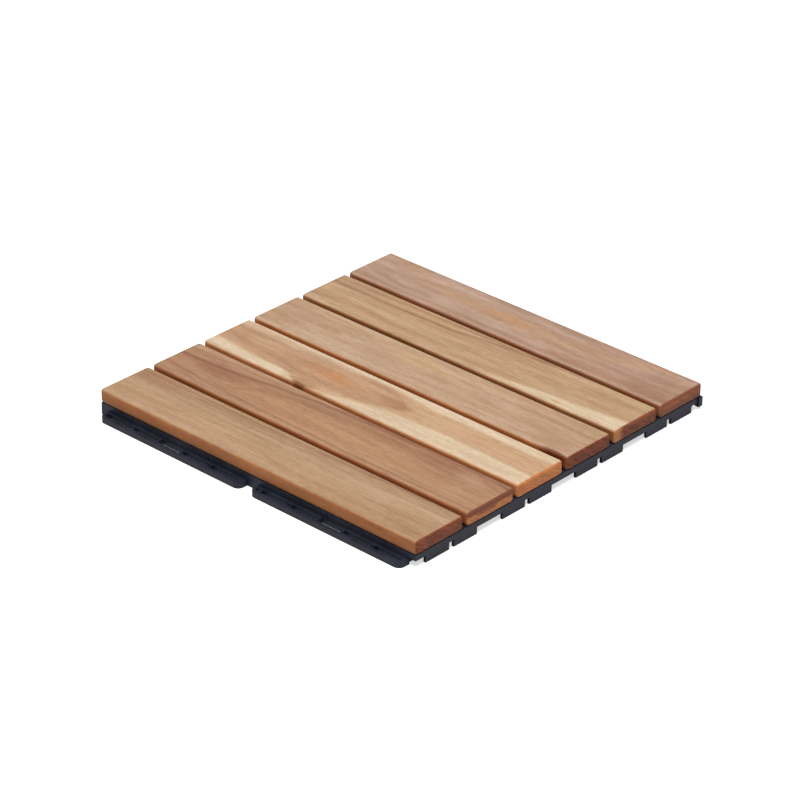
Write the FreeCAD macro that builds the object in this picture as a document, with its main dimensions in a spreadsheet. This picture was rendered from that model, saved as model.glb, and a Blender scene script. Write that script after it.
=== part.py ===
import FreeCAD, Part
import Sketcher
import os

os.makedirs("parts", exist_ok=True)
doc = FreeCAD.newDocument("deck_tile")

# Lengths in millimetres, counts as plain numbers. The deck face points up,
# the slats run along X, and the origin is the middle of the tile on the ground.
VALUES = [
    ("slat_count", 6, "wooden slats side by side"),
    ("slat_length", 300, "length of a slat"),
    ("slat_width", 46.5, "width of a slat"),
    ("slat_gap", 4.2, "drain gap between two slats"),
    ("slat_thick", 11, "thickness of a slat"),
    ("slat_round", 2.5, "rounding of a slat's long upper edges"),
    ("under_round", 2, "rounding of a slat's long lower edges"),
    ("end_bevel", 1, "bevel at a slat's upper ends"),
    ("base_height", 9.5, "height of the moulded base under the slats"),
    ("base_inset", 0.6, "base wall set back from the edge of the wood"),
    ("wall_thick", 2, "outer and inner walls of the base"),
    ("flange_thick", 4.3, "overhanging flange on the tongue sides"),
    ("relief_depth", 8.2, "hollow under the flange, for the next tile's strip"),
    ("rib_thick", 2.2, "ribs of the lattice"),
    ("rib_lift", 1.5, "clearance of the ribs above the ground"),
    ("rib_count", 7, "ribs that run across the slats"),
    ("pair_count", 4, "tongue pairs on a side"),
    ("screw_rows", 2, "screws in a slat"),
    ("pair_margin", 10.4, "outermost tongue set back from the corner of the wood"),
    ("tongue_width", 23, "width of a tongue"),
    ("tongue_notch", 4.6, "gap between the two tongues of a pair"),
    ("tongue_thick", 2, "thickness of a tongue"),
    ("tile_gap", 1.8, "gap between two joined tiles"),
    ("strip_reach", 8, "reach of a slotted strip past the edge of the wood"),
    ("strip_height", 4.3, "height of a slotted strip"),
    ("strip_margin", 7, "strip end set back from the corner"),
    ("strip_split", 10, "gap between the two halves of a strip"),
    ("strip_round", 5, "rounded outer corners of a strip"),
    ("slot_play", 0.9, "play of a tongue across its slot"),
    ("end_play", 0.5, "play at each end of a slot"),
    ("window_rib", 1.6, "rib between a slot and the window beside it"),
    ("peg_hole", 2, "small square holes in a strip"),
    ("post_side", 4, "side of the corner post"),
    ("post_out", 1.2, "corner post proud of the base wall"),
    ("post_lift", 1.2, "corner post above the ground"),
    ("post_taper", 1, "bevel at the lower end of the corner post"),
    ("foot_wide", 7, "side of a square foot"),
    ("foot_rows", 3, "feet along a slat"),
    ("foot_columns", 5, "feet across the slats"),
    ("boss_side", 9, "side of a square screw boss"),
    ("recess_wide", 7.2, "side of the square recess for a screw head"),
    ("recess_depth", 4.5, "seat of a screw head above the ground"),
    ("hole_wide", 3.6, "side of the square screw hole in a boss"),
    ("head_wide", 6.4, "diameter of a screw head"),
    ("head_thick", 2, "height of a screw head"),
    ("shank_wide", 3, "diameter of a screw"),
    ("wood_cover", 3, "wood left above a screw"),
    ("pilot_play", 0.5, "pilot hole beyond the tip of a screw"),
    ("overlap", 1, "overlap where two features fuse, and overshoot of a cut"),
]

sizes = doc.addObject("Spreadsheet::Sheet", "sizes")
for row, (alias, value, meaning) in enumerate(VALUES, start=1):
    sizes.set("A%d" % row, alias)
    sizes.set("B%d" % row, str(value))
    sizes.setAlias("B%d" % row, alias)
    sizes.set("C%d" % row, meaning)
doc.recompute()

HALF_X = "(sizes.slat_length / 2)"
SIDE_Y = "(sizes.slat_count * sizes.slat_width + (sizes.slat_count - 1) * sizes.slat_gap)"
HALF_Y = "(%s / 2)" % SIDE_Y
PAIR_ENDS = "2 * sizes.pair_margin - 2 * sizes.tongue_width - sizes.tongue_notch"
PITCH_X = "((sizes.slat_length - %s) / (sizes.pair_count - 1))" % PAIR_ENDS
PITCH_Y = "((%s - %s) / (sizes.pair_count - 1))" % (SIDE_Y, PAIR_ENDS)
SLAT_PITCH = "(sizes.slat_width + sizes.slat_gap)"
WALL_X = "(%s - sizes.base_inset)" % HALF_X
WALL_Y = "(%s - sizes.base_inset)" % HALF_Y
RELIEF_X = "(%s - sizes.relief_depth)" % WALL_X
RELIEF_Y = "(%s - sizes.relief_depth)" % WALL_Y
FLANGE_LOW = "(sizes.base_height - sizes.flange_thick)"
SLOT_NEAR = "(sizes.tile_gap + sizes.base_inset - sizes.slot_play)"
SLOT_FAR = "(sizes.tile_gap + sizes.base_inset + sizes.tongue_thick + sizes.slot_play)"
SLOT_IN = "(sizes.tongue_notch / 2 - sizes.end_play)"
SLOT_OUT = "(sizes.tongue_notch / 2 + sizes.tongue_width + sizes.end_play)"
FIRST_PAIR = "(-(sizes.pair_count - 1) / 2)"
FIRST_SCREW = "(%s * %s)" % (FIRST_PAIR, PITCH_X)
SCREW_PITCH = "(%s * (sizes.pair_count - 1) / (sizes.screw_rows - 1))" % PITCH_X
FIRST_SLAT = "(-(sizes.slat_count - 1) / 2 * %s)" % SLAT_PITCH
RIB_PITCH = "((sizes.slat_length - %s) / (sizes.rib_count - 1))" % PAIR_ENDS
BITE = "(sizes.slat_thick - sizes.wood_cover)"


def new_body(name):
    body = doc.addObject("PartDesign::Body", name)
    body.Label = name
    return body


def origin_part(body, role):
    for item in body.Origin.OriginFeatures:
        if item.Role == role:
            return item
    raise ValueError(role)


def new_sketch(body, name, lift=None):
    sketch = body.newObject("Sketcher::SketchObject", name)
    sketch.AttachmentSupport = [(origin_part(body, "XY_Plane"), "")]
    sketch.MapMode = "FlatFace"
    if lift is not None:
        sketch.setExpression("AttachmentOffset.Base.z", lift)
    return sketch


def bind(sketch, index, expression):
    name = "c%d" % index
    sketch.renameConstraint(index, name)
    sketch.setExpression("Constraints." + name, expression)


def place_point(sketch, geometry, point, across, along):
    for kind, expression, axis in (("DistanceX", across, -2), ("DistanceY", along, -1)):
        if expression == "0":
            fixed = ("PointOnObject", geometry, point, axis)
            sketch.addConstraint(Sketcher.Constraint(*fixed))
            continue
        value = number(expression)
        index = sketch.addConstraint(Sketcher.Constraint(kind, -1, 1, geometry, point, value))
        bind(sketch, index, expression)


def number(expression):
    return float(sizes.evalExpression(expression.replace("sizes.", "")))


def polygon(sketch, points):
    spots = [FreeCAD.Vector(number(x), number(y), 0) for x, y in points]
    first = sketch.GeometryCount
    total = len(points)
    for k in range(total):
        sketch.addGeometry(Part.LineSegment(spots[k], spots[(k + 1) % total]), False)
    for k in range(total):
        following = first + (k + 1) % total
        sketch.addConstraint(Sketcher.Constraint("Coincident", first + k, 2, following, 1))
    for k, (x, y) in enumerate(points):
        place_point(sketch, first + k, 1, x, y)


def rectangle(sketch, low_x, high_x, low_y, high_y, swap=False):
    points = [(low_x, low_y), (high_x, low_y), (high_x, high_y), (low_x, high_y)]
    if swap:
        points = [(y, x) for x, y in points]
    polygon(sketch, points)


def circle(sketch, middle_x, middle_y, across, swap=False):
    if swap:
        middle_x, middle_y = middle_y, middle_x
    middle = FreeCAD.Vector(number(middle_x), number(middle_y), 0)
    ring = Part.Circle(middle, FreeCAD.Vector(0, 0, 1), number(across) / 2)
    index = sketch.addGeometry(ring, False)
    place_point(sketch, index, 3, middle_x, middle_y)
    size = sketch.addConstraint(Sketcher.Constraint("Diameter", index, number(across)))
    bind(sketch, size, across)


def pad(body, name, sketch, length):
    feature = body.newObject("PartDesign::Pad", name)
    feature.Profile = sketch
    feature.setExpression("Length", length)
    doc.recompute()
    body.Tip = feature
    return feature


def pocket_up(body, name, sketch, length):
    feature = body.newObject("PartDesign::Pocket", name)
    feature.Profile = sketch
    feature.Reversed = True
    feature.setExpression("Length", length)
    before = feature.BaseFeature.Shape.Volume
    doc.recompute()
    if not feature.Shape.Volume < before:
        raise ValueError(name + " removes nothing")
    body.Tip = feature
    return feature


def row(body, name, originals, axis, spacing, count, axis_b=None, spacing_b=None, count_b=None):
    feature = body.newObject("PartDesign::LinearPattern", name)
    feature.Originals = originals
    feature.Direction = (origin_part(body, axis), [""])
    feature.Mode = "Spacing"
    feature.setExpression("Offset", spacing)
    feature.setExpression("Occurrences", count)
    if axis_b:
        feature.Direction2 = (origin_part(body, axis_b), [""])
        feature.Mode2 = "Spacing"
        feature.Spacings2 = [-1.0]
        feature.setExpression("Offset2", spacing_b)
        feature.setExpression("Occurrences2", count_b)
    body.Tip = feature
    doc.recompute()
    return feature


def edges_where(shape, test):
    return ["Edge%d" % (k + 1) for k, edge in enumerate(shape.Edges) if test(edge.BoundBox)]


def make_slat(place):
    body = new_body("slat_%d" % place)
    outline = new_sketch(body, "outline_%d" % place)
    half = "(sizes.slat_width / 2)"
    rectangle(outline, "-" + HALF_X, HALF_X, "-" + half, half)
    board = pad(body, "board_%d" % place, outline, "sizes.slat_thick")
    top = board.Shape.BoundBox.ZMax


    def soften(kind, name, base, size, test):
        feature = body.newObject("PartDesign::" + kind, name)
        feature.Base = (base, edges_where(base.Shape, test))
        feature.setExpression("Radius" if kind == "Fillet" else "Size", size)
        doc.recompute()
        body.Tip = feature
        return feature

    under = soften("Fillet", "under_round_%d" % place, board, "sizes.under_round",
                   lambda box: box.ZMax < 0.01 and box.YLength < 0.01)
    upper = soften("Fillet", "upper_round_%d" % place, under, "sizes.slat_round",
                   lambda box: box.ZMin > top - 0.01 and box.YLength < 0.01)
    soften("Chamfer", "end_bevel_%d" % place, upper, "sizes.end_bevel",
           lambda box: box.ZMin > top - 0.01 and box.XLength < 0.01)
    spot = new_sketch(body, "pilot_spot_%d" % place)
    circle(spot, FIRST_SCREW, "0", "sizes.shank_wide")
    pilot = pocket_up(body, "pilot_%d" % place, spot, BITE + " + sizes.pilot_play")
    row(body, "pilots_%d" % place, [pilot], "X_Axis", SCREW_PITCH, "sizes.screw_rows")
    shift = "(%d - (sizes.slat_count + 1) / 2) * %s" % (place, SLAT_PITCH)
    body.setExpression("Placement.Base.y", shift)
    body.setExpression("Placement.Base.z", "sizes.base_height")
    return body


def outer_ring(body):
    sketch = new_sketch(body, "ring_outline")
    rectangle(sketch, "-" + WALL_X, WALL_X, "-" + WALL_Y, WALL_Y)
    inner = "-(%s - sizes.wall_thick)"
    hollow_x = "(%s - sizes.wall_thick)" % RELIEF_X
    hollow_y = "(%s - sizes.wall_thick)" % RELIEF_Y
    rectangle(sketch, inner % WALL_X, hollow_x, inner % WALL_Y, hollow_y)
    pad(body, "ring", sketch, "sizes.base_height")


def lattice(body):
    low = "-(%s - sizes.wall_thick / 2)"
    end_x = "(%s - sizes.wall_thick / 2)" % RELIEF_X
    end_y = "(%s - sizes.wall_thick / 2)" % RELIEF_Y
    rib_height = "sizes.base_height - sizes.rib_lift"
    along = new_sketch(body, "long_rib_plan", "sizes.rib_lift")
    middle = FIRST_SLAT
    rectangle(along, low % WALL_X, end_x, middle + " - sizes.rib_thick / 2", middle + " + sizes.rib_thick / 2")
    rib = pad(body, "long_rib", along, rib_height)
    row(body, "long_ribs", [rib], "Y_Axis", SLAT_PITCH + " / 2", "2 * sizes.slat_count - 1")
    across = new_sketch(body, "cross_rib_plan", "sizes.rib_lift")
    rectangle(across, FIRST_SCREW + " - sizes.rib_thick / 2", FIRST_SCREW + " + sizes.rib_thick / 2", low % WALL_Y, end_y)
    rib = pad(body, "cross_rib", across, rib_height)
    row(body, "cross_ribs", [rib], "X_Axis", RIB_PITCH, "sizes.rib_count")


def small_square(sketch, middle_x, middle_y, side, swap=False):
    half = " %s " + side + " / 2"
    rectangle(sketch, middle_x + half % "-", middle_x + half % "+",
              middle_y + half % "-", middle_y + half % "+", swap)


def feet_and_bosses(body):
    feet = new_sketch(body, "foot_plan")
    first_x = "(-(sizes.foot_rows - 1) * %s)" % RIB_PITCH
    first_y = "(-(sizes.foot_columns - 1) / 2 * %s)" % SLAT_PITCH
    small_square(feet, first_x, first_y, "sizes.foot_wide")
    foot = pad(body, "foot", feet, "sizes.rib_lift + sizes.overlap")
    row(body, "feet", [foot], "X_Axis", "2 * " + RIB_PITCH, "sizes.foot_rows",
        "Y_Axis", SLAT_PITCH, "sizes.foot_columns")
    plan = new_sketch(body, "boss_plan", "sizes.rib_lift")
    small_square(plan, FIRST_SCREW, FIRST_SLAT, "sizes.boss_side")
    boss = pad(body, "boss", plan, "sizes.base_height - sizes.rib_lift")
    row(body, "bosses", [boss], "X_Axis", SCREW_PITCH, "sizes.screw_rows",
        "Y_Axis", SLAT_PITCH, "sizes.slat_count")


def screw_holes(body):
    wide = new_sketch(body, "recess_plan")
    small_square(wide, FIRST_SCREW, FIRST_SLAT, "sizes.recess_wide")
    recess = pocket_up(body, "recess", wide, "sizes.recess_depth")
    row(body, "recesses", [recess], "X_Axis", SCREW_PITCH, "sizes.screw_rows",
        "Y_Axis", SLAT_PITCH, "sizes.slat_count")
    narrow = new_sketch(body, "hole_plan")
    small_square(narrow, FIRST_SCREW, FIRST_SLAT, "sizes.hole_wide")
    hole = pocket_up(body, "hole", narrow, "sizes.base_height + sizes.overlap")
    row(body, "holes", [hole], "X_Axis", SCREW_PITCH, "sizes.screw_rows",
        "Y_Axis", SLAT_PITCH, "sizes.slat_count")


def flange_relief(body):
    sketch = new_sketch(body, "relief_plan")
    far_x = HALF_X
    far_y = HALF_Y
    polygon(sketch, [(RELIEF_X, "-" + far_y), (far_x, "-" + far_y), (far_x, far_y),
                     ("-" + far_x, far_y), ("-" + far_x, RELIEF_Y), (RELIEF_X, RELIEF_Y)])
    pocket_up(body, "relief", sketch, FLANGE_LOW)


def tongues(body, side, swap):
    wall = WALL_Y if swap else WALL_X
    pitch = PITCH_X if swap else PITCH_Y
    axis = "X_Axis" if swap else "Y_Axis"
    plan = new_sketch(body, "tongue_plan_" + side)
    middle = FIRST_PAIR + " * " + pitch
    near = "(sizes.tongue_notch / 2)"
    far = "(sizes.tongue_notch / 2 + sizes.tongue_width)"
    back = wall + " - sizes.tongue_thick"
    rectangle(plan, back, wall, middle + " - " + far, middle + " - " + near, swap)
    rectangle(plan, back, wall, middle + " + " + near, middle + " + " + far, swap)
    pair = pad(body, "tongue_pair_" + side, plan, FLANGE_LOW + " + sizes.overlap")
    row(body, "tongue_pairs_" + side, [pair], axis, pitch, "sizes.pair_count")


def corner_post(body):
    plan = new_sketch(body, "post_plan", "sizes.post_lift")
    out_x = "(%s + sizes.post_out)" % WALL_X
    out_y = "(%s + sizes.post_out)" % WALL_Y
    rectangle(plan, out_x + " - sizes.post_side", out_x, out_y + " - sizes.post_side", out_y)
    post = pad(body, "post", plan, "sizes.base_height - sizes.post_lift")
    reach = number("sizes.post_side + 1")
    lift = number("sizes.post_lift")
    corner_x = number(out_x)
    corner_y = number(out_y)

    def low_edge(box):
        near = box.XMin > corner_x - reach and box.YMin > corner_y - reach
        return near and abs(box.ZMin - lift) < 0.01 and abs(box.ZMax - lift) < 0.01

    taper = body.newObject("PartDesign::Chamfer", "post_end")
    taper.Base = (post, edges_where(post.Shape, low_edge))
    taper.setExpression("Size", "sizes.post_taper")
    doc.recompute()
    body.Tip = taper


def strip_halves(body, side, swap):
    half = HALF_Y if swap else HALF_X
    edge = HALF_X if swap else HALF_Y
    root = "-(%s - sizes.wall_thick / 2)" % (WALL_X if swap else WALL_Y)
    out = "-(%s + sizes.strip_reach)" % edge
    end = "(%s - sizes.strip_margin)" % half
    split = "(sizes.strip_split / 2)"
    plan = new_sketch(body, "strip_plan_" + side)
    rectangle(plan, "-" + end, "-" + split, out, root, swap)
    rectangle(plan, split, end, out, root, swap)
    return pad(body, "strip_" + side, plan, "sizes.strip_height")


def round_strips(body, strips):
    far_x = number(HALF_X) + number("sizes.strip_reach")
    far_y = number(HALF_Y) + number("sizes.strip_reach")

    def outer_corner(box):
        upright = box.XLength < 0.01 and box.YLength < 0.01
        return upright and (box.XMin < -far_x + 0.01 or box.YMin < -far_y + 0.01)

    rounded = body.newObject("PartDesign::Fillet", "strip_corners")
    rounded.Base = (strips, edges_where(strips.Shape, outer_corner))
    rounded.setExpression("Radius", "sizes.strip_round")
    doc.recompute()
    body.Tip = rounded


def strip_openings(body, side, swap):
    edge = HALF_X if swap else HALF_Y
    pitch = PITCH_Y if swap else PITCH_X
    axis = "Y_Axis" if swap else "X_Axis"
    near = "-(%s + %s)" % (edge, SLOT_NEAR)
    far = "-(%s + %s)" % (edge, SLOT_FAR)
    plan = new_sketch(body, "slot_plan_" + side)
    middle = FIRST_PAIR + " * " + pitch
    rectangle(plan, middle + " - " + SLOT_OUT, middle + " - " + SLOT_IN, far, near, swap)
    rectangle(plan, middle + " + " + SLOT_IN, middle + " + " + SLOT_OUT, far, near, swap)
    small_square(plan, middle, "-(%s + (%s + %s) / 2)" % (edge, SLOT_NEAR, SLOT_FAR), "sizes.peg_hole", swap)
    slots = pocket_up(body, "slot_pair_" + side, plan, "sizes.strip_height + sizes.overlap")
    row(body, "slot_pairs_" + side, [slots], axis, pitch, "sizes.pair_count")
    window = new_sketch(body, "window_plan_" + side)
    inner = "-%s" % edge
    reach = "(%s + sizes.window_rib)" % SLOT_OUT
    left = "-(%s * 3 / 2 - %s)" % (pitch, reach)
    right = "-(%s / 2 + %s)" % (pitch, reach)
    rectangle(window, left, right, far, inner, swap)
    rectangle(window, right[1:], left[1:], far, inner, swap)
    middle = "-(%s + (%s + %s) / 2)" % (edge, SLOT_NEAR, SLOT_FAR)
    split_hole = "((sizes.strip_split / 2 + %s / 2 - %s) / 2)" % (pitch, SLOT_OUT)
    small_square(window, split_hole, middle, "sizes.peg_hole", swap)
    pocket_up(body, "windows_" + side, window, "sizes.strip_height + sizes.overlap")


def make_base():
    body = new_body("base_grid")
    outer_ring(body)
    flange_relief(body)
    tongues(body, "x", False)
    tongues(body, "y", True)
    corner_post(body)
    strip_halves(body, "y", False)
    strips = strip_halves(body, "x", True)
    round_strips(body, strips)
    strip_openings(body, "y", False)
    strip_openings(body, "x", True)
    lattice(body)
    feet_and_bosses(body)
    screw_holes(body)
    return body


def whole_row(body, name, axis, spacing, count):
    feature = body.newObject("PartDesign::LinearPattern", name)
    feature.TransformMode = "Whole shape"
    feature.Direction = (origin_part(body, axis), [""])
    feature.Mode = "Spacing"
    feature.setExpression("Offset", spacing)
    feature.setExpression("Occurrences", count)
    body.Tip = feature
    doc.recompute()


def make_screws():
    body = new_body("slat_screws")
    body.AllowCompound = True
    head_plan = new_sketch(body, "head_plan", "sizes.recess_depth - sizes.head_thick")
    circle(head_plan, FIRST_SCREW, FIRST_SLAT, "sizes.head_wide")
    pad(body, "head", head_plan, "sizes.head_thick")
    shank_plan = new_sketch(body, "shank_plan", "sizes.recess_depth - sizes.head_thick / 2")
    circle(shank_plan, FIRST_SCREW, FIRST_SLAT, "sizes.shank_wide")
    length = "sizes.head_thick / 2 + sizes.base_height - sizes.recess_depth + " + BITE
    pad(body, "shank", shank_plan, length)
    whole_row(body, "screw_row", "X_Axis", SCREW_PITCH, "sizes.screw_rows")
    whole_row(body, "screw_columns", "Y_Axis", SLAT_PITCH, "sizes.slat_count")
    return body


bodies = [make_base()]
for slat_number in range(1, int(number("sizes.slat_count")) + 1):
    bodies.append(make_slat(slat_number))
bodies.append(make_screws())
doc.recompute()

for item in doc.Objects:
    if "Invalid" in item.State or "Error" in item.State:
        raise ValueError("%s: %s" % (item.Name, item.State))
for body in bodies:
    shape = body.Shape
    if shape.isNull() or not shape.isValid():
        raise ValueError(body.Name + " has no valid shape")
    shape.exportStep("parts/%s.step" % body.Label)
    box = shape.BoundBox
    print("%s solids %d volume %.0f  x %.2f %.2f  y %.2f %.2f  z %.2f %.2f" % (
        body.Label, len(shape.Solids), shape.Volume,
        box.XMin, box.XMax, box.YMin, box.YMax, box.ZMin, box.ZMax))
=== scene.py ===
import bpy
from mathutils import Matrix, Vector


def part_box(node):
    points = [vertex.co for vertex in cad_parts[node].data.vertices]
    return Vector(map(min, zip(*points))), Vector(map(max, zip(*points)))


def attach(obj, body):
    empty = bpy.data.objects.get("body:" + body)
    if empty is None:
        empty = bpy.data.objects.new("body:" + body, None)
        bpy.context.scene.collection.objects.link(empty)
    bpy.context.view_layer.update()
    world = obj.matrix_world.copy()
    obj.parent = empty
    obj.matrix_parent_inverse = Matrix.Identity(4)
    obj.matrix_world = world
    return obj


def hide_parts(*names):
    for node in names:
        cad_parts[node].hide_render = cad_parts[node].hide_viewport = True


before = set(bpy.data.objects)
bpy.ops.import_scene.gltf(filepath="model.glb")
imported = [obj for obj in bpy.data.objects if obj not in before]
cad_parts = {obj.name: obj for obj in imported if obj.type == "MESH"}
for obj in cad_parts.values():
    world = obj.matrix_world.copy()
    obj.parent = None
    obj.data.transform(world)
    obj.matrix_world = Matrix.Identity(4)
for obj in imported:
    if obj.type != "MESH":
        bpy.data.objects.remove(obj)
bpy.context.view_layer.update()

import math

import bpy
from mathutils import Matrix, Quaternion, Vector

MM = 0.001
MM_PER_M = 1000.0
SLATS = ["slat_%d" % number for number in range(1, 7)]

# A line on a slat is given by points in mm: along the grain, and across it from the near edge.
LINE_LENGTH = 300.0
LINE_REACH = 60.0
NEAR_EDGE = [(0, 0), (300, 0)]
FAR_EDGE = [(0, 60), (300, 60)]

SLAT_ROUNDING = 2.5 * MM
SLAT_ROUNDING_STEPS = 6

SCREW_HEAD_RADIUS = 3.2 * MM
SCREW_HEAD_HEIGHT = 2.0 * MM

FLOOR_REACH = 4.0
FLOOR_DROP = 0.0002


def tone(red, green, blue):
    """Turns an 8-bit display colour into the linear colour that a shader takes."""
    def linear(value):
        value /= 255.0
        return value / 12.92 if value <= 0.04045 else ((value + 0.055) / 1.055) ** 2.4
    return (linear(red), linear(green), linear(blue), 1.0)


class Nodes:
    """Short calls for the nodes that shader and geometry trees share."""

    def __init__(self, tree):
        self.tree = tree

    def node(self, kind, **settings):
        made = self.tree.nodes.new(kind)
        for key, value in settings.items():
            setattr(made, key, value)
        return made

    def feed(self, socket, value):
        if isinstance(value, bpy.types.NodeSocket):
            self.tree.links.new(value, socket)
        else:
            socket.default_value = value

    def made_from(self, kind, inputs, **settings):
        """A node with its named inputs fed; gives back the node."""
        made = self.node(kind, **settings)
        for name, value in inputs.items():
            self.feed(made.inputs[name], value)
        return made

    def math(self, operation, first, second=0.0):
        made = self.node("ShaderNodeMath", operation=operation)
        self.feed(made.inputs[0], first)
        self.feed(made.inputs[1], second)
        return made.outputs[0]

    def add(self, first, second):
        return self.math("ADD", first, second)

    def less(self, first, second):
        return self.math("SUBTRACT", first, second)

    def times(self, first, second):
        return self.math("MULTIPLY", first, second)

    def distance(self, first, second):
        """The length of a line with these two legs."""
        return self.math("SQRT", self.add(self.times(first, first), self.times(second, second)))

    def ramp(self, value, low, high, bottom=0.0, top=1.0):
        """Goes smoothly from bottom to top while the value goes from low to high."""
        made = self.node("ShaderNodeMapRange", interpolation_type="SMOOTHSTEP")
        for socket, item in zip(made.inputs, (value, low, high, bottom, top)):
            self.feed(socket, item)
        return made.outputs[0]

    def within(self, value, low, high, soft):
        """1 between two limits and 0 outside them, with a soft change at each."""
        return self.times(self.ramp(value, low - soft, low + soft),
                          self.ramp(value, high - soft, high + soft, 1.0, 0.0))

    def parts(self, vector):
        """The X, Y and Z of a vector."""
        made = self.node("ShaderNodeSeparateXYZ")
        self.feed(made.inputs[0], vector)
        return tuple(made.outputs)

    def joined(self, x, y, z):
        made = self.node("ShaderNodeCombineXYZ")
        for socket, value in zip(made.inputs, (x, y, z)):
            self.feed(socket, value)
        return made.outputs[0]

    def profile(self, value, points, lift=1.0, length=1.0, smooth=False):
        """Height at a place along a line through the points given, straight or smooth between them."""
        made = self.node("ShaderNodeFloatCurve")
        curve = made.mapping.curves[0]
        spots = [(x / length, y / lift) for x, y in points]
        curve.points[0].location = spots[0]
        curve.points[1].location = spots[-1]
        for spot in spots[1:-1]:
            curve.points.new(*spot)
        if not smooth:
            for point in curve.points:
                point.handle_type = "VECTOR"
        made.mapping.update()
        self.feed(made.inputs["Value"], self.times(value, 1.0 / length))
        return self.times(made.outputs[0], lift)


class Finish(Nodes):
    """A material under construction."""

    def __init__(self, name):
        self.material = bpy.data.materials.new(name)
        self.material.use_nodes = True
        super().__init__(self.material.node_tree)
        self.tree.nodes.clear()
        output = self.node("ShaderNodeOutputMaterial")
        self.shader = self.node("ShaderNodeBsdfPrincipled")
        self.tree.links.new(self.shader.outputs[0], output.inputs["Surface"])

    def here(self, kind="Object"):
        """The place on the piece, or the way its surface faces with Normal."""
        return self.node("ShaderNodeTexCoord").outputs[kind]

    def noise(self, place, detail=2.0, rough=0.5, scale=1.0):
        made = self.node("ShaderNodeTexNoise", noise_dimensions="3D")
        self.feed(made.inputs["Vector"], place)
        made.inputs["Scale"].default_value = scale
        made.inputs["Detail"].default_value = detail
        made.inputs["Roughness"].default_value = rough
        return made.outputs[0]

    def blend(self, amount, first, second, kind="MIX"):
        made = self.node("ShaderNodeMix", data_type="RGBA", blend_type=kind, clamp_factor=True)
        self.feed(made.inputs[0], amount)
        self.feed(made.inputs[6], first)
        self.feed(made.inputs[7], second)
        return made.outputs[2]

    def tinted(self, colour, tint):
        return self.blend(1.0, colour, tint, "MULTIPLY")

    def bumped(self, height, strength, distance):
        """Fine relief, from a height between 0 and 1."""
        made = self.node("ShaderNodeBump")
        made.inputs["Strength"].default_value = strength
        made.inputs["Distance"].default_value = distance
        self.feed(made.inputs["Height"], height)
        self.feed(self.shader.inputs["Normal"], made.outputs[0])


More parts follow.
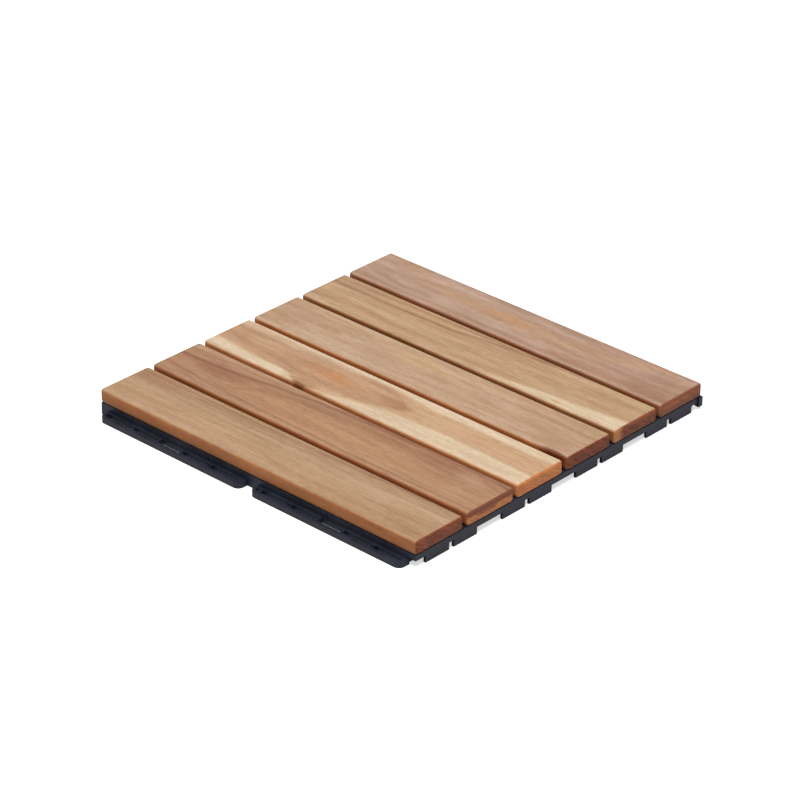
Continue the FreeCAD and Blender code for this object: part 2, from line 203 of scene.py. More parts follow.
class Board(Finish):
    """Oiled hardwood: growth rings cut by the board, with figures, fibres, pores and stains on top.

    Places are in mm: along the grain, across it from the near edge, and deep from the top.
    """

    def __init__(self, name, node, seed):
        super().__init__(name)
        self.seed = seed
        low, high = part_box(node)
        x, y, z = self.parts(self.here())
        self.along = self.times(self.less(x, low.x), MM_PER_M)
        self.across = self.times(self.less(y, low.y), MM_PER_M)
        self.deep = self.times(self.less(high.z, z), MM_PER_M)
        endwise, sideways, _ = self.parts(self.here("Normal"))
        self.end = self.ramp(self.math("ABSOLUTE", endwise), 0.35, 0.75)
        level = self.distance(endwise, sideways)
        self.side = self.times(self.ramp(level, 0.6, 1.0), self.less(1.0, self.end))

    def stretched(self, along, across, deep, shift=0.0):
        """A place for noise that is stretched along the grain."""
        return self.joined(self.add(self.times(self.along, along), self.seed * 7.3 + shift),
                           self.add(self.times(self.across, across), self.seed * 3.1),
                           self.times(self.deep, deep))

    def centred(self, noise):
        return self.less(noise, 0.5)

    def line(self, points):
        """How far across the slat a line lies at this place along it."""
        return self.profile(self.along, points, LINE_REACH, LINE_LENGTH, smooth=True)

    def ground(self, light, dark):
        streaks = self.noise(self.stretched(0.004, 0.11, 0.11), 3.0, 0.55)
        self.colour = self.blend(self.ramp(streaks, 0.28, 0.72), light, dark)

    def rings(self, middle, depth, opening, period, dark, strength, tilt=0.0, start=150.0, sway=8.0):
        """Growth rings round a heart below the board; opening bends them into arches."""
        far = self.times(self.less(self.along, start), 0.01)
        heart = self.add(self.times(self.times(far, far), opening), depth)
        heart = self.less(heart, self.deep)
        wave = self.centred(self.noise(self.stretched(0.011, 0.035, 0.035, 3.0)))
        ripple = self.centred(self.noise(self.stretched(0.028, 0.14, 0.05, 17.0)))
        aside = self.add(self.less(self.across, middle), self.times(wave, sway))
        aside = self.add(aside, self.times(ripple, 3.4))
        aside = self.less(aside, self.times(far, tilt))
        radius = self.distance(aside, heart)
        uneven = self.noise(self.joined(self.times(radius, 0.17), self.seed + 0.5, 0.0), 3.0, 0.6)
        radius = self.add(radius, self.times(self.centred(uneven), 9.0))
        phase = self.math("FRACT", self.times(radius, 1.0 / period))
        late = self.times(self.ramp(phase, 0.1, 0.8), self.ramp(phase, 0.8, 1.0, 1.0, 0.0))
        years = self.noise(self.joined(self.times(radius, 0.33), self.seed + 5.5, 2.0), 1.0)
        patches = self.noise(self.stretched(0.012, 0.07, 0.07, 9.0))
        self.ring = self.times(self.times(late, self.ramp(years, 0.3, 0.7, 0.3, 1.0)),
                               self.ramp(patches, 0.32, 0.68))
        self.colour = self.blend(self.times(self.ring, strength), self.colour, dark)

    def band(self, lower, upper, soft, colour, amount):
        """A lengthwise band between two lines, such as sapwood or a stain."""
        drift = self.centred(self.noise(self.stretched(0.03, 0.02, 0.02, 5.0), 3.0))
        height = self.add(self.across, self.times(drift, 3.2))
        above = self.less(height, self.line(lower))
        below = self.less(self.line(upper), height)
        inside = self.times(self.ramp(above, -soft, soft), self.ramp(below, -soft, soft))
        grain = self.ramp(self.noise(self.stretched(0.02, 0.6, 0.6, 2.0)), 0.25, 0.6, 0.72, 1.0)
        self.colour = self.blend(self.times(self.times(inside, grain), amount), self.colour, colour)

    def streak(self, points, width, colour, amount, first=-50.0, last=350.0):
        """A thin dark or light line that follows the grain and fades at its first and last place."""
        fade = 9.0
        drift = self.centred(self.noise(self.stretched(0.02, 0.0, 0.0, 8.0)))
        height = self.add(self.across, self.times(drift, 2.4))
        away = self.math("ABSOLUTE", self.less(height, self.line(points)))
        inside = self.times(self.ramp(away, 0.0, width, 1.0, 0.0),
                            self.within(self.along, first + fade, last - fade, fade))
        worn = self.ramp(self.noise(self.stretched(0.05, 0.3, 0.3, 4.0)), 0.25, 0.6, 0.45, 1.0)
        self.colour = self.blend(self.times(self.times(inside, worn), amount), self.colour, colour)

    def spot(self, along, across, length, width, colour, amount, edge=0.35):
        """An oval knot or stain."""
        ragged = self.centred(self.noise(self.stretched(0.12, 0.35, 0.35, 6.0), 3.0))
        away = self.distance(self.times(self.less(self.along, along), 1.0 / length),
                             self.times(self.less(self.across, across), 1.0 / width))
        away = self.add(away, self.times(ragged, 0.7))
        inside = self.ramp(away, edge, 1.0, 1.0, 0.0)
        self.colour = self.blend(self.times(inside, amount), self.colour, colour)

    def fibres(self, strength=0.12, mottle=0.10):
        """Fine fibres, short flecks and a soft mottle, which darken red a little less than blue."""
        self.fine = self.noise(self.stretched(0.035, 1.3, 1.3, 1.0), 4.0, 0.62)
        shade = self.ramp(self.fine, 0.25, 0.75, 1.0 - strength, 1.0 + strength * 0.55)
        flecks = self.noise(self.stretched(0.15, 0.62, 0.62, 21.0), 2.0, 0.6)
        shade = self.times(shade, self.ramp(flecks, 0.28, 0.72, 0.90, 1.06))
        cloudy = self.noise(self.stretched(0.022, 0.17, 0.17, 31.0), 2.0, 0.55)
        shade = self.times(shade, self.ramp(cloudy, 0.28, 0.72, 1.0 - mottle, 1.0 + mottle * 0.7))
        warm = self.math("POWER", shade, 0.8)
        cool = self.math("POWER", shade, 1.3)
        self.colour = self.tinted(self.colour, self.joined(warm, shade, cool))
        self.pores = self.ramp(self.noise(self.stretched(0.11, 3.1, 3.1, 11.0), 1.0), 0.62, 0.72)
        dark = self.tinted(self.colour, tone(206, 184, 166))
        self.colour = self.blend(self.times(self.pores, 0.55), self.colour, dark)

    def ends(self, light, dark, rings=0.5, stains=()):
        """Sawn end grain, deeper and redder, with ring arcs and open pores.

        A stain has its upper and lower limit, its near and far limit, a colour and an amount.
        """
        slant = self.add(self.times(self.across, 0.28), self.times(self.deep, -0.5))
        rough = self.noise(self.joined(slant, self.times(self.deep, 0.12), self.seed + 4.0), 3.0, 0.6)
        cut = self.blend(self.ramp(rough, 0.32, 0.66), light, dark)
        cut = self.blend(self.times(self.ring, rings), cut, dark)
        for top, bottom, near, far, colour, amount in stains:
            inside = self.times(self.within(self.deep, top, bottom, 0.8),
                                self.within(self.across, near, far, 4.0))
            cut = self.blend(self.times(inside, amount), cut, colour)
        dots = self.noise(self.joined(self.times(self.across, 2.6), self.times(self.deep, 2.6), self.seed))
        open_pores = self.ramp(dots, 0.58, 0.72)
        cut = self.blend(self.times(open_pores, 0.6), cut, self.tinted(cut, tone(190, 168, 150)))
        self.colour = self.blend(self.end, self.colour, cut)

    def done(self, side_tint_and_shade=(252, 197, 151)):
        """Sides in a redder tint that also holds painted shade, and darker towards the bottom with painted
        shade, then the gloss and the fine relief.
        """
        # painted light and shade: the sides are a little lighter near the top and darker from 2 to 10 mm
        # deep, where the gaps and the lower edge lie in shade
        fade = self.ramp(self.deep, 2.0, 10.0, 1.06, 0.9)
        # painted shade: the side tint is partly the oiled wood's redder side tone and partly the shade that
        # falls on the sides
        side = self.tinted(self.tinted(self.colour, tone(*side_tint_and_shade)), self.joined(fade, fade, fade))
        self.feed(self.shader.inputs["Base Color"], self.blend(self.side, self.colour, side))
        oil = self.ramp(self.noise(self.stretched(0.02, 0.5, 0.5, 12.0), 3.0), 0.2, 0.8, 0.44, 0.60)
        self.feed(self.shader.inputs["Roughness"], self.add(oil, self.times(self.pores, 0.1)))
        self.shader.inputs["Specular IOR Level"].default_value = 0.35
        height = self.less(self.times(self.fine, 0.6), self.times(self.pores, 0.5))
        self.bumped(self.less(height, self.times(self.ring, 0.25)), 0.35, 0.22 * MM)
        return self.material


def slat_1_wood():
    """Even brown, with thin dark lines towards the far edge."""
    wood = Board("oiled_slat_1", "slat_1", 1)
    wood.ground(tone(194, 160, 127), tone(183, 146, 111))
    wood.rings(60.0, 24.0, 1.0, 3.4, tone(152, 112, 78), 0.34, tilt=1.5, start=60.0, sway=7.0)
    wood.band([(0, 30), (120, 33), (300, 37)], FAR_EDGE, 3.0, tone(172, 134, 104), 0.55)
    wood.streak([(0, 40), (110, 41), (300, 45)], 1.6, tone(134, 96, 66), 0.6)
    wood.streak([(0, 36), (90, 37.5), (200, 41), (300, 43)], 1.2, tone(140, 100, 70), 0.5, last=240.0)
    wood.streak([(0, 33), (140, 34), (300, 36)], 1.0, tone(150, 112, 80), 0.4, first=20.0)
    wood.streak([(0, 13), (90, 14), (300, 12)], 6.0, tone(194, 146, 102), 0.45, last=195.0)
    wood.streak([(0, 11), (180, 10), (230, 9.5), (300, 7)], 4.0, tone(168, 120, 82), 0.5, first=150.0)
    wood.spot(20.0, 38.0, 34.0, 8.0, tone(170, 122, 94), 0.45)
    wood.spot(290.0, 16.0, 62.0, 17.0, tone(164, 122, 88), 0.32)
    wood.fibres()
    wood.ends(tone(156, 82, 45), tone(117, 56, 30))
    return wood.done()


def slat_2_wood():
    """Red-brown, with a dark wedge at the -X end and a long lens beside it."""
    wood = Board("oiled_slat_2", "slat_2", 2)
    wood.ground(tone(186, 146, 114), tone(174, 127, 95))
    wood.rings(20.0, 16.0, 5.0, 3.0, tone(142, 94, 68), 0.44, tilt=1.0, start=165.0, sway=5.0)
    # the wedge and the lens
    wood.band([(0, 6), (60, 12), (110, 12), (300, 10)], [(0, 22), (50, 34), (110, 30), (300, 26)], 6.0,
              tone(188, 144, 108), 0.3)
    wood.spot(165.0, 18.0, 110.0, 17.0, tone(194, 146, 106), 0.3, 0.7)
    wood.spot(46.0, 24.5, 36.0, 10.0, tone(152, 102, 74), 0.58)
    wood.spot(250.0, 23.0, 50.0, 8.0, tone(158, 110, 74), 0.3)
    wood.streak([(0, 8), (66, 16), (86, 27), (129, 34), (200, 35.5), (258, 30), (281, 22), (300, 14)], 6.0,
                tone(148, 98, 68), 0.42, first=60.0, last=288.0)
    wood.spot(243.0, 38.0, 34.0, 5.0, tone(154, 106, 78), 0.55)
    # lines along both edges, and a pale place near the +X end
    wood.streak([(0, 27), (57, 31.5), (95, 36.5), (160, 42.5), (220, 43), (300, 42)], 3.2,
                tone(140, 90, 72), 0.75)
    wood.streak([(0, 13), (60, 7), (150, 4), (300, 4)], 2.2, tone(146, 94, 70), 0.55)
    wood.streak([(0, 40), (60, 43), (300, 45)], 3.0, tone(202, 166, 134), 0.55, last=150.0)
    wood.spot(272.0, 30.0, 15.0, 15.0, tone(198, 158, 128), 0.34)
    wood.fibres(0.13)
    wood.ends(tone(224, 150, 86), tone(186, 108, 60), 0.35,
              stains=((-1.0, 4.4, -5.0, 60.0, tone(128, 68, 47), 0.9),
                      (3.5, 6.8, 10.0, 29.0, tone(146, 78, 48), 0.8)))
    return wood.done()


def slat_3_wood():
    """Pale sapwood with a pointed tongue of heartwood, an orange eye and a small knot."""
    sapwood = tone(206, 167, 130)
    cream = tone(230, 208, 178)
    wood = Board("oiled_slat_3", "slat_3", 3)
    wood.ground(tone(204, 168, 134), tone(192, 148, 112))
    wood.rings(25.0, 14.0, 6.0, 3.9, tone(160, 112, 82), 0.28, start=128.0, sway=4.0)
    # sapwood on both sides of the tongue
    wood.band([(0, 60), (112, 60), (128, 45), (150, 39), (165, 33), (178, 24), (187, 12), (200, 0), (300, 0)],
              FAR_EDGE, 3.0, sapwood, 0.8)
    wood.band(NEAR_EDGE,
              [(0, 0), (95, 0), (123, 8), (150, 13), (165, 17), (178, 24), (187, 40), (200, 60), (300, 60)],
              3.0, sapwood, 0.8)
    wood.band([(0, 37), (60, 35), (115, 38), (150, 44), (180, 60), (300, 60)], FAR_EDGE, 4.0,
              tone(228, 200, 168), 0.62)
    # the eye
    wood.spot(104.0, 24.5, 42.0, 9.5, tone(196, 138, 94), 0.52)
    wood.spot(108.0, 24.5, 20.0, 5.4, tone(200, 134, 82), 0.36)
    # the tongue's dark outline and point
    wood.streak([(0, 24), (60, 17), (110, 12), (150, 15.5), (165, 19), (178, 24), (300, 30)], 5.4,
                tone(162, 112, 82), 0.34, last=186.0)
    wood.streak([(0, 34), (100, 38), (137, 38.5), (160, 34), (178, 25), (300, 20)], 5.4,
                tone(166, 114, 84), 0.36, last=186.0)
    wood.spot(162.0, 25.5, 20.0, 7.5, tone(164, 112, 82), 0.34)
    # cream along the edges
    wood.band([(0, 44), (60, 43), (115, 42), (160, 40), (180, 37.5), (230, 36.5), (300, 38)], FAR_EDGE, 2.4,
              cream, 0.85)
    wood.band(NEAR_EDGE, [(0, 12), (40, 9), (76, 7), (92, 0), (300, 0)], 2.0, cream, 0.9)
    wood.band(NEAR_EDGE, [(0, 0), (110, 1), (140, 8), (165, 13), (220, 16), (300, 14)], 2.2,
              tone(222, 198, 167), 0.95)
    # the knot at the near edge
    wood.spot(97.0, 4.0, 20.0, 6.0, tone(172, 116, 76), 0.45)
    wood.spot(95.0, 0.8, 8.5, 2.0, tone(112, 60, 30), 0.7)
    wood.fibres(0.10)
    wood.ends(tone(228, 146, 82), tone(196, 114, 62), 0.3)
    return wood.done()


def slat_4_wood():
    """Plain light brown, with a dark knot at the near corner of the +X end."""
    wood = Board("oiled_slat_4", "slat_4", 4)
    wood.ground(tone(202, 170, 141), tone(193, 156, 124))
    wood.rings(-30.0, 30.0, 0.6, 4.2, tone(168, 130, 100), 0.28, tilt=-2.0, sway=9.0)
    wood.streak([(0, 41), (150, 39), (300, 42)], 2.4, tone(190, 152, 112), 0.5)
    wood.band([(0, 34), (300, 33)], FAR_EDGE, 4.0, tone(208, 174, 140), 0.35)
    wood.band([(0, 60), (200, 60), (240, 20), (300, 18)], FAR_EDGE, 7.0, tone(184, 148, 114), 0.5)
    wood.spot(138.0, 31.0, 44.0, 8.0, tone(204, 172, 122), 0.5)
    wood.spot(10.0, 30.0, 40.0, 16.0, tone(176, 138, 106), 0.42)
    wood.spot(70.0, 7.0, 74.0, 10.0, tone(216, 186, 158), 0.38)
    wood.spot(54.0, 24.0, 17.0, 6.0, tone(178, 134, 98), 0.5)
    wood.streak([(0, 33), (300, 33)], 3.0, tone(168, 126, 92), 0.5, first=225.0)
    # the knot
    wood.spot(282.0, 8.0, 30.0, 10.0, tone(172, 130, 98), 0.5)
    wood.spot(288.0, 0.4, 17.0, 2.6, tone(112, 58, 34), 0.85)
    wood.fibres(0.12, 0.14)
    wood.ends(tone(148, 74, 37), tone(104, 47, 23))
    # painted shade: a darker side tint, for the sides that face into the shaded gaps
    return wood.done((239, 177, 121))


def slat_5_wood():
    """Yellow-brown, with dark lines in the far half and a cream corner at the +X end."""
    wood = Board("oiled_slat_5", "slat_5", 5)
    wood.ground(tone(202, 168, 132), tone(192, 153, 117))
    wood.rings(-20.0, 22.0, 1.6, 3.6, tone(158, 114, 80), 0.36, start=320.0, tilt=-3.0, sway=6.0)
    wood.streak([(0, 33), (70, 32), (115, 34), (149, 38), (200, 42), (300, 45)], 3.0,
                tone(146, 96, 66), 0.62, last=220.0)
    wood.streak([(0, 38.5), (86, 41), (300, 45)], 2.6, tone(154, 104, 74), 0.5, last=240.0)
    wood.streak([(0, 30), (100, 29), (220, 33), (300, 36)], 1.0, tone(162, 118, 86), 0.4)
    # the cream corner
    wood.band([(0, 1), (300, 1)], [(0, 1), (165, 1), (200, 4.5), (240, 9.5), (300, 15.5)], 2.2,
              tone(228, 206, 174), 0.9)
    wood.spot(244.0, 4.0, 7.0, 1.6, tone(206, 164, 116), 0.7)
    wood.fibres(0.13, 0.12)
    wood.ends(tone(146, 79, 42), tone(108, 55, 28), 0.5,
              stains=((-1.0, 12.0, -9.0, 7.0, tone(208, 136, 78), 0.85),
                      (-1.0, 3.0, 12.0, 60.0, tone(160, 88, 54), 0.6)))
    # painted shade: a darker side tint, for the sides that face into the shaded gaps
    return wood.done((206, 158, 118))


def slat_6_wood():
    """Greyish pink-brown, with an orange place in the middle and darker at the +X end."""
    wood = Board("oiled_slat_6", "slat_6", 6)
    wood.ground(tone(198, 165, 143), tone(185, 149, 126))
    wood.rings(20.0, 20.0, 3.0, 4.4, tone(156, 118, 94), 0.34, start=210.0, tilt=-4.0, sway=10.0)
    wood.streak([(0, 44), (300, 44)], 3.0, tone(172, 132, 106), 0.5)
    wood.band([(0, 60), (40, 30), (120, 18), (180, 17), (300, 60)],
              [(0, 60), (120, 30), (220, 34), (300, 60)], 5.0, tone(200, 156, 118), 0.5)
    wood.streak([(0, 5), (300, 4)], 3.5, tone(166, 124, 96), 0.5)
    wood.streak([(0, 9), (200, 8), (300, 10)], 7.0, tone(172, 120, 84), 0.5, first=180.0)
    wood.spot(136.0, 26.0, 32.0, 6.5, tone(206, 152, 104), 0.5)
    wood.spot(74.0, 37.0, 60.0, 9.0, tone(210, 182, 164), 0.34)
    wood.spot(292.0, 20.0, 46.0, 24.0, tone(158, 112, 84), 0.4)
    wood.spot(270.0, 6.0, 60.0, 8.0, tone(158, 112, 84), 0.3)
    wood.fibres(0.13, 0.13)
    wood.ends(tone(184, 108, 60), tone(146, 84, 52), 0.4,
              stains=((-1.0, 2.6, -5.0, 60.0, tone(138, 82, 64), 0.75),
                      (5.5, 12.0, -5.0, 60.0, tone(130, 76, 50), 0.65)))
    # painted shade: a darker side tint, for the sides that face into the shaded gaps
    return wood.done((214, 159, 116))


WOODS = [slat_1_wood, slat_2_wood, slat_3_wood, slat_4_wood, slat_5_wood, slat_6_wood]


def base_plastic():
    """Dark grey-blue moulded plastic with a fine satin texture."""
    skin = Finish("moulded_base_plastic")
    place = skin.here()
    cloud = skin.noise(place, 3.0, 0.5, 60.0)
    dust_and_sheen = skin.noise(place, 4.0, 0.6, 420.0)
    grain = skin.noise(place, 2.0, 0.5, 2600.0)
    colour = skin.blend(skin.ramp(cloud, 0.3, 0.7), tone(33, 36, 49), tone(43, 46, 61))
    # light flecks: partly dust, partly painted sheen standing for small highlights on ribs and edges
    colour = skin.blend(skin.ramp(dust_and_sheen, 0.52, 0.78, 0.0, 0.4), colour, tone(72, 76, 93))
    skin.feed(skin.shader.inputs["Base Color"], colour)
    skin.feed(skin.shader.inputs["Roughness"], skin.ramp(cloud, 0.2, 0.8, 0.36, 0.5))
    skin.shader.inputs["Specular IOR Level"].default_value = 0.42
    skin.bumped(grain, 0.25, 0.1 * MM)
    return skin.material


def screw_steel():
    """Zinc-plated steel with fine turning marks and a little dulling."""
    skin = Finish("zinc_plated_screw")
    place = skin.here()
    cloud = skin.noise(place, 3.0, 0.55, 300.0)
    marks = skin.noise(place, 2.0, 0.5, 2200.0)
    colour = skin.blend(skin.ramp(cloud, 0.3, 0.75), tone(196, 196, 192), tone(160, 158, 150))
    skin.feed(skin.shader.inputs["Base Color"], colour)
    skin.shader.inputs["Metallic"].default_value = 1.0
    skin.feed(skin.shader.inputs["Roughness"], skin.ramp(cloud, 0.2, 0.8, 0.26, 0.42))
    skin.bumped(marks, 0.2, 0.05 * MM)
    return skin.material


def dress(node, material):
    """Gives the solid of a node its finish."""
    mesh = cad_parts[node].data
    mesh.materials.clear()
    mesh.materials.append(material)


def shown(name, data):
    """A new object in the scene, at the origin."""
    made = bpy.data.objects.new(name, data)
    bpy.context.scene.collection.objects.link(made)
    return made


def plain_mesh(maker):
    """The mesh that an object's modifiers make; the object goes."""
    mesh = bpy.data.meshes.new_from_object(maker.evaluated_get(bpy.context.evaluated_depsgraph_get()))
    maker.modifiers.clear()
    bpy.data.objects.remove(maker)
    return mesh


def sanded_board(node, material):
    """A slat whose edges and corners are all rounded over, ends too."""
    low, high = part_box(node)
    blank = bpy.data.meshes.new(node + "_blank")
    corners = [(x, y, z) for z in (low.z, high.z) for y in (low.y, high.y) for x in (low.x, high.x)]
    faces = [(0, 2, 3, 1), (4, 5, 7, 6), (0, 1, 5, 4), (2, 6, 7, 3), (0, 4, 6, 2), (1, 3, 7, 5)]
    blank.from_pydata(corners, [], faces)
    blank.polygons.foreach_set("use_smooth", [True] * len(faces))
    maker = shown(node + "_maker", blank)
    edges = maker.modifiers.new("rounded_edges", "BEVEL")
    edges.width = SLAT_ROUNDING
    edges.segments = SLAT_ROUNDING_STEPS
    edges.limit_method = "NONE"
    edges.harden_normals = True
    mesh = plain_mesh(maker)
    mesh.materials.clear()
    mesh.materials.append(material)
    piece = shown(node + "_board", mesh)
    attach(piece, "root")
    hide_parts(node)


def screw_tree():
    """Pan-head screws with a cross recess and a thread, one at each spot of a regular field."""
    group = bpy.data.node_groups.new("screw_field", "GeometryNodeTree")
    group.interface.new_socket("Geometry", in_out="OUTPUT", socket_type="NodeSocketGeometry")
    for name in ("Head radius", "Head height", "Shank radius", "Length", "Thread pitch", "Thread depth",
                 "Recess reach", "Recess width", "Field length", "Field width", "Seat height"):
        group.interface.new_socket(name, in_out="INPUT", socket_type="NodeSocketFloat")
    for name in ("Screws along", "Screws across", "Seed"):
        group.interface.new_socket(name, in_out="INPUT", socket_type="NodeSocketInt")
    group.interface.new_socket("Steel", in_out="INPUT", socket_type="NodeSocketMaterial")
    tree = Nodes(group)
    given = tree.node("NodeGroupInput").outputs

    # The skin runs from the middle of the head's face, over its rim, up the shank and to the tip.
    skin = tree.made_from("GeometryNodeMeshGrid", {"Size X": 1.0, "Size Y": 1.0,
                                                   "Vertices X": 41, "Vertices Y": 73})
    round_share, rise_share, _ = tree.parts(tree.node("GeometryNodeInputPosition").outputs[0])
    turn = tree.times(tree.add(round_share, 0.5), 2.0 * math.pi)
    rise = tree.add(rise_share, 0.5)
    head = tree.profile(rise, [(0, 0), (0.18, 0.74), (0.24, 0.94), (0.28, 1), (0.36, 1), (0.4, 0), (1, 0)])
    shank = tree.profile(rise, [(0, 0), (0.36, 0), (0.4, 1), (0.9, 1), (0.985, 0.2), (1, 0)])
    radius = tree.add(tree.times(head, given["Head radius"]), tree.times(shank, given["Shank radius"]))
    head = tree.profile(rise, [(0, 0), (0.18, 0.02), (0.24, 0.12), (0.28, 0.4), (0.36, 1), (1, 1)])
    shank = tree.profile(rise, [(0, 0), (0.4, 0), (1, 1)])
    height = tree.add(tree.times(head, given["Head height"]), tree.times(shank, given["Length"]))

    # thread
    winds = tree.less(tree.math("DIVIDE", height, given["Thread pitch"]), tree.times(turn, 0.5 / math.pi))
    groove = tree.math("ABSOLUTE", tree.less(tree.times(tree.math("FRACT", winds), 2.0), 1.0))
    threaded = tree.times(tree.ramp(rise, 0.46, 0.5), tree.ramp(rise, 0.94, 0.98, 1.0, 0.0))
    radius = tree.less(radius, tree.times(tree.times(groove, given["Thread depth"]), threaded))
    x = tree.times(radius, tree.math("COSINE", turn))
    y = tree.times(radius, tree.math("SINE", turn))

    # cross recess
    narrow = tree.math("MINIMUM", tree.math("ABSOLUTE", x), tree.math("ABSOLUTE", y))
    cross = tree.times(tree.ramp(narrow, tree.times(given["Recess width"], 0.3),
                                 tree.times(given["Recess width"], 0.7), 1.0, 0.0),
                       tree.ramp(radius, tree.times(given["Recess reach"], 0.75),
                                 given["Recess reach"], 1.0, 0.0))
    cross = tree.times(cross, tree.ramp(rise, 0.2, 0.24, 1.0, 0.0))
    height = tree.add(height, tree.times(tree.times(cross, given["Head height"]), 0.6))

    shaped = tree.made_from("GeometryNodeSetPosition", {"Geometry": skin.outputs["Mesh"],
                                                        "Position": tree.joined(x, y, height)})
    welded = tree.made_from("GeometryNodeMergeByDistance", {"Geometry": shaped.outputs[0],
                                                            "Distance": 0.01 * MM})
    smooth = tree.made_from("GeometryNodeSetShadeSmooth", {"Geometry": welded.outputs[0]})

    # field of spots, each screw turned by chance
    spots = tree.made_from("GeometryNodeMeshGrid", {
        "Size X": given["Field length"], "Size Y": given["Field width"],
        "Vertices X": given["Screws along"], "Vertices Y": given["Screws across"]})
    lifted = tree.made_from("GeometryNodeSetPosition", {
        "Geometry": spots.outputs["Mesh"], "Offset": tree.joined(0.0, 0.0, given["Seat height"])})
    twist = tree.made_from("FunctionNodeRandomValue", {"Seed": given["Seed"]}, data_type="FLOAT")
    twist.inputs[2].default_value = 0.0
    twist.inputs[3].default_value = 2.0 * math.pi
    turned = tree.made_from("FunctionNodeEulerToRotation", {"Euler": tree.joined(0.0, 0.0, twist.outputs[1])})
    placed = tree.made_from("GeometryNodeInstanceOnPoints", {
        "Points": lifted.outputs[0], "Instance": smooth.outputs[0], "Rotation": turned.outputs[0]})
    real = tree.made_from("GeometryNodeRealizeInstances", {"Geometry": placed.outputs[0]})
    painted = tree.made_from("GeometryNodeSetMaterial", {"Geometry": real.outputs[0],
                                                         "Material": given["Steel"]})
    tree.feed(tree.node("NodeGroupOutput").inputs[0], painted.outputs[0])
    return group


def slat_screws(steel):
    """The screws that hold the slats, two to a slat, driven from below."""
    low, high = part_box("slat_screws")
    group = screw_tree()
    maker = shown("screw_maker", bpy.data.meshes.new("screw_maker"))
    modifier = maker.modifiers.new("screws", "NODES")
    modifier.node_group = group
    sizes = {
        "Head radius": SCREW_HEAD_RADIUS, "Head height": SCREW_HEAD_HEIGHT,
        "Shank radius": 1.5 * MM, "Length": high.z - low.z - SCREW_HEAD_HEIGHT,
        "Thread pitch": 1.6 * MM, "Thread depth": 0.4 * MM,
        "Recess reach": 1.9 * MM, "Recess width": 1.0 * MM,
        "Field length": high.x - low.x - 2.0 * SCREW_HEAD_RADIUS,
        "Field width": high.y - low.y - 2.0 * SCREW_HEAD_RADIUS, "Seat height": low.z,
        "Screws along": 2, "Screws across": len(SLATS), "Seed": 7, "Steel": steel,
    }
    for socket in group.interface.items_tree:
        if socket.in_out == "INPUT":
            modifier[socket.identifier] = sizes[socket.name]
    mesh = plain_mesh(maker)
    mesh.transform(Matrix.Translation(((low.x + high.x) / 2.0, (low.y + high.y) / 2.0, 0.0)))
    piece = shown("slat_screws_detail", mesh)
    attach(piece, "root")
    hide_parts("slat_screws")


def mixed_for_camera(tree, plain, seen, output):
    """Lets the camera see one shader and every other ray another."""
    path = tree.nodes.new("ShaderNodeLightPath")
    mix = tree.nodes.new("ShaderNodeMixShader")
    for start, end in ((path.outputs["Is Camera Ray"], mix.inputs[0]), (plain, mix.inputs[1]),
                       (seen, mix.inputs[2]), (mix.outputs[0], output)):
        tree.links.new(start, end)


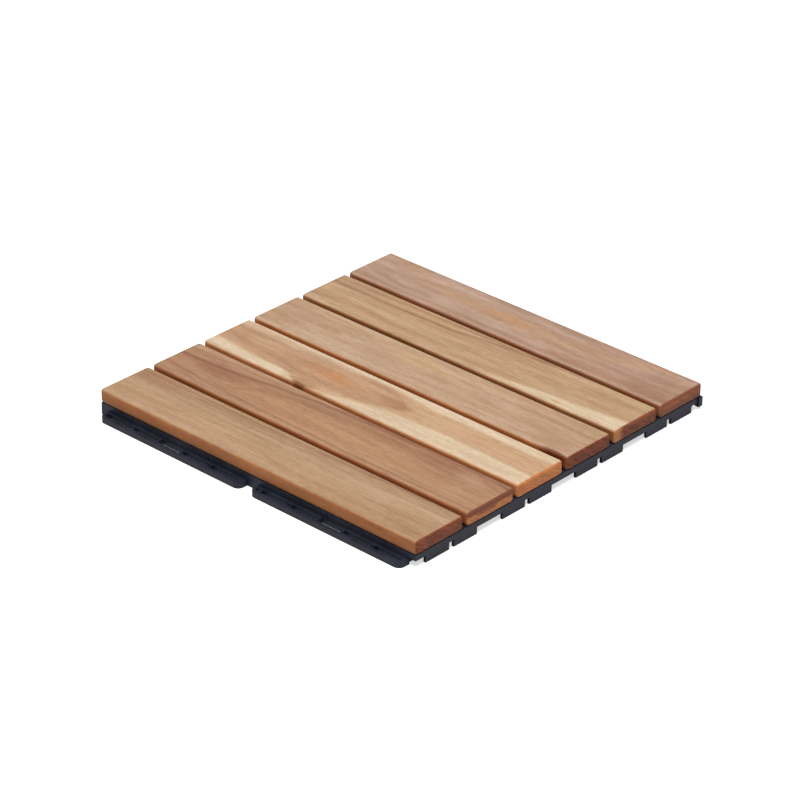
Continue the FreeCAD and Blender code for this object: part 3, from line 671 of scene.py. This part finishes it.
def studio_floor():
    """A pale floor; the camera sees it lifted to white, with the tile's soft shadow kept."""
    mesh = bpy.data.meshes.new("studio_floor")
    corners = [(x * FLOOR_REACH, y * FLOOR_REACH, -FLOOR_DROP)
               for x, y in ((-1, -1), (1, -1), (1, 1), (-1, 1))]
    mesh.from_pydata(corners, [], [(0, 1, 2, 3)])
    material = bpy.data.materials.new("pale_floor")
    material.use_nodes = True
    tree = material.node_tree
    tree.nodes.clear()
    output = tree.nodes.new("ShaderNodeOutputMaterial")
    plain = tree.nodes.new("ShaderNodeBsdfDiffuse")
    plain.inputs["Color"].default_value = (0.62, 0.62, 0.62, 1.0)
    bright = tree.nodes.new("ShaderNodeBsdfDiffuse")
    bright.inputs["Color"].default_value = (0.9, 0.9, 0.9, 1.0)
    glow = tree.nodes.new("ShaderNodeEmission")
    glow.inputs["Strength"].default_value = 0.6
    lifted = tree.nodes.new("ShaderNodeAddShader")
    tree.links.new(bright.outputs[0], lifted.inputs[0])
    tree.links.new(glow.outputs[0], lifted.inputs[1])
    mixed_for_camera(tree, plain.outputs[0], lifted.outputs[0], output.inputs["Surface"])
    mesh.materials.append(material)
    shown("studio_floor", mesh)


def studio_world(level):
    """Soft light from all sides; the camera sees white."""
    world = bpy.data.worlds.new("studio")
    bpy.context.scene.world = world
    world.use_nodes = True
    tree = world.node_tree
    tree.nodes.clear()
    output = tree.nodes.new("ShaderNodeOutputWorld")
    plain = tree.nodes.new("ShaderNodeBackground")
    plain.inputs["Color"].default_value = (0.96, 0.98, 1.0, 1.0)
    plain.inputs["Strength"].default_value = level
    white = tree.nodes.new("ShaderNodeBackground")
    white.inputs["Strength"].default_value = 1.0
    mixed_for_camera(tree, plain.outputs[0], white.outputs[0], output.inputs["Surface"])


def turned_to(place, aim):
    """The turn that points a lamp or camera from its place to an aim."""
    return (aim - place).to_track_quat("-Z", "Y")


def softbox(name, place, aim, size, power):
    lamp = bpy.data.lights.new(name, "AREA")
    lamp.shape = "SQUARE"
    lamp.size = size
    lamp.energy = power
    stand = shown(name, lamp)
    stand.location = place
    stand.rotation_mode = "QUATERNION"
    stand.rotation_quaternion = turned_to(Vector(place), Vector(aim))


def photo_camera(place, aim, roll):
    camera = bpy.data.cameras.new("photo_camera")
    camera.lens = 150.0
    camera.sensor_width = 36.0
    camera.clip_start, camera.clip_end = 0.05, 50.0
    stand = shown("photo_camera", camera)
    stand.location = place
    stand.rotation_mode = "QUATERNION"
    stand.rotation_quaternion = turned_to(Vector(place), Vector(aim)) @ Quaternion((0.0, 0.0, 1.0), roll)
    bpy.context.scene.camera = stand


for slat, wood in zip(SLATS, WOODS):
    sanded_board(slat, wood())
dress("base_grid", base_plastic())
slat_screws(screw_steel())

studio_floor()
studio_world(0.33)
softbox("overhead_softbox", (0.3, -0.4, 1.9), (0.0, 0.0, 0.0), 1.3, 34.0)
photo_camera((1.383, -1.524, 1.142), (-0.002, 0.0, 0.008), math.radians(0.765))
bpy.context.scene.view_settings.view_transform = "Standard"
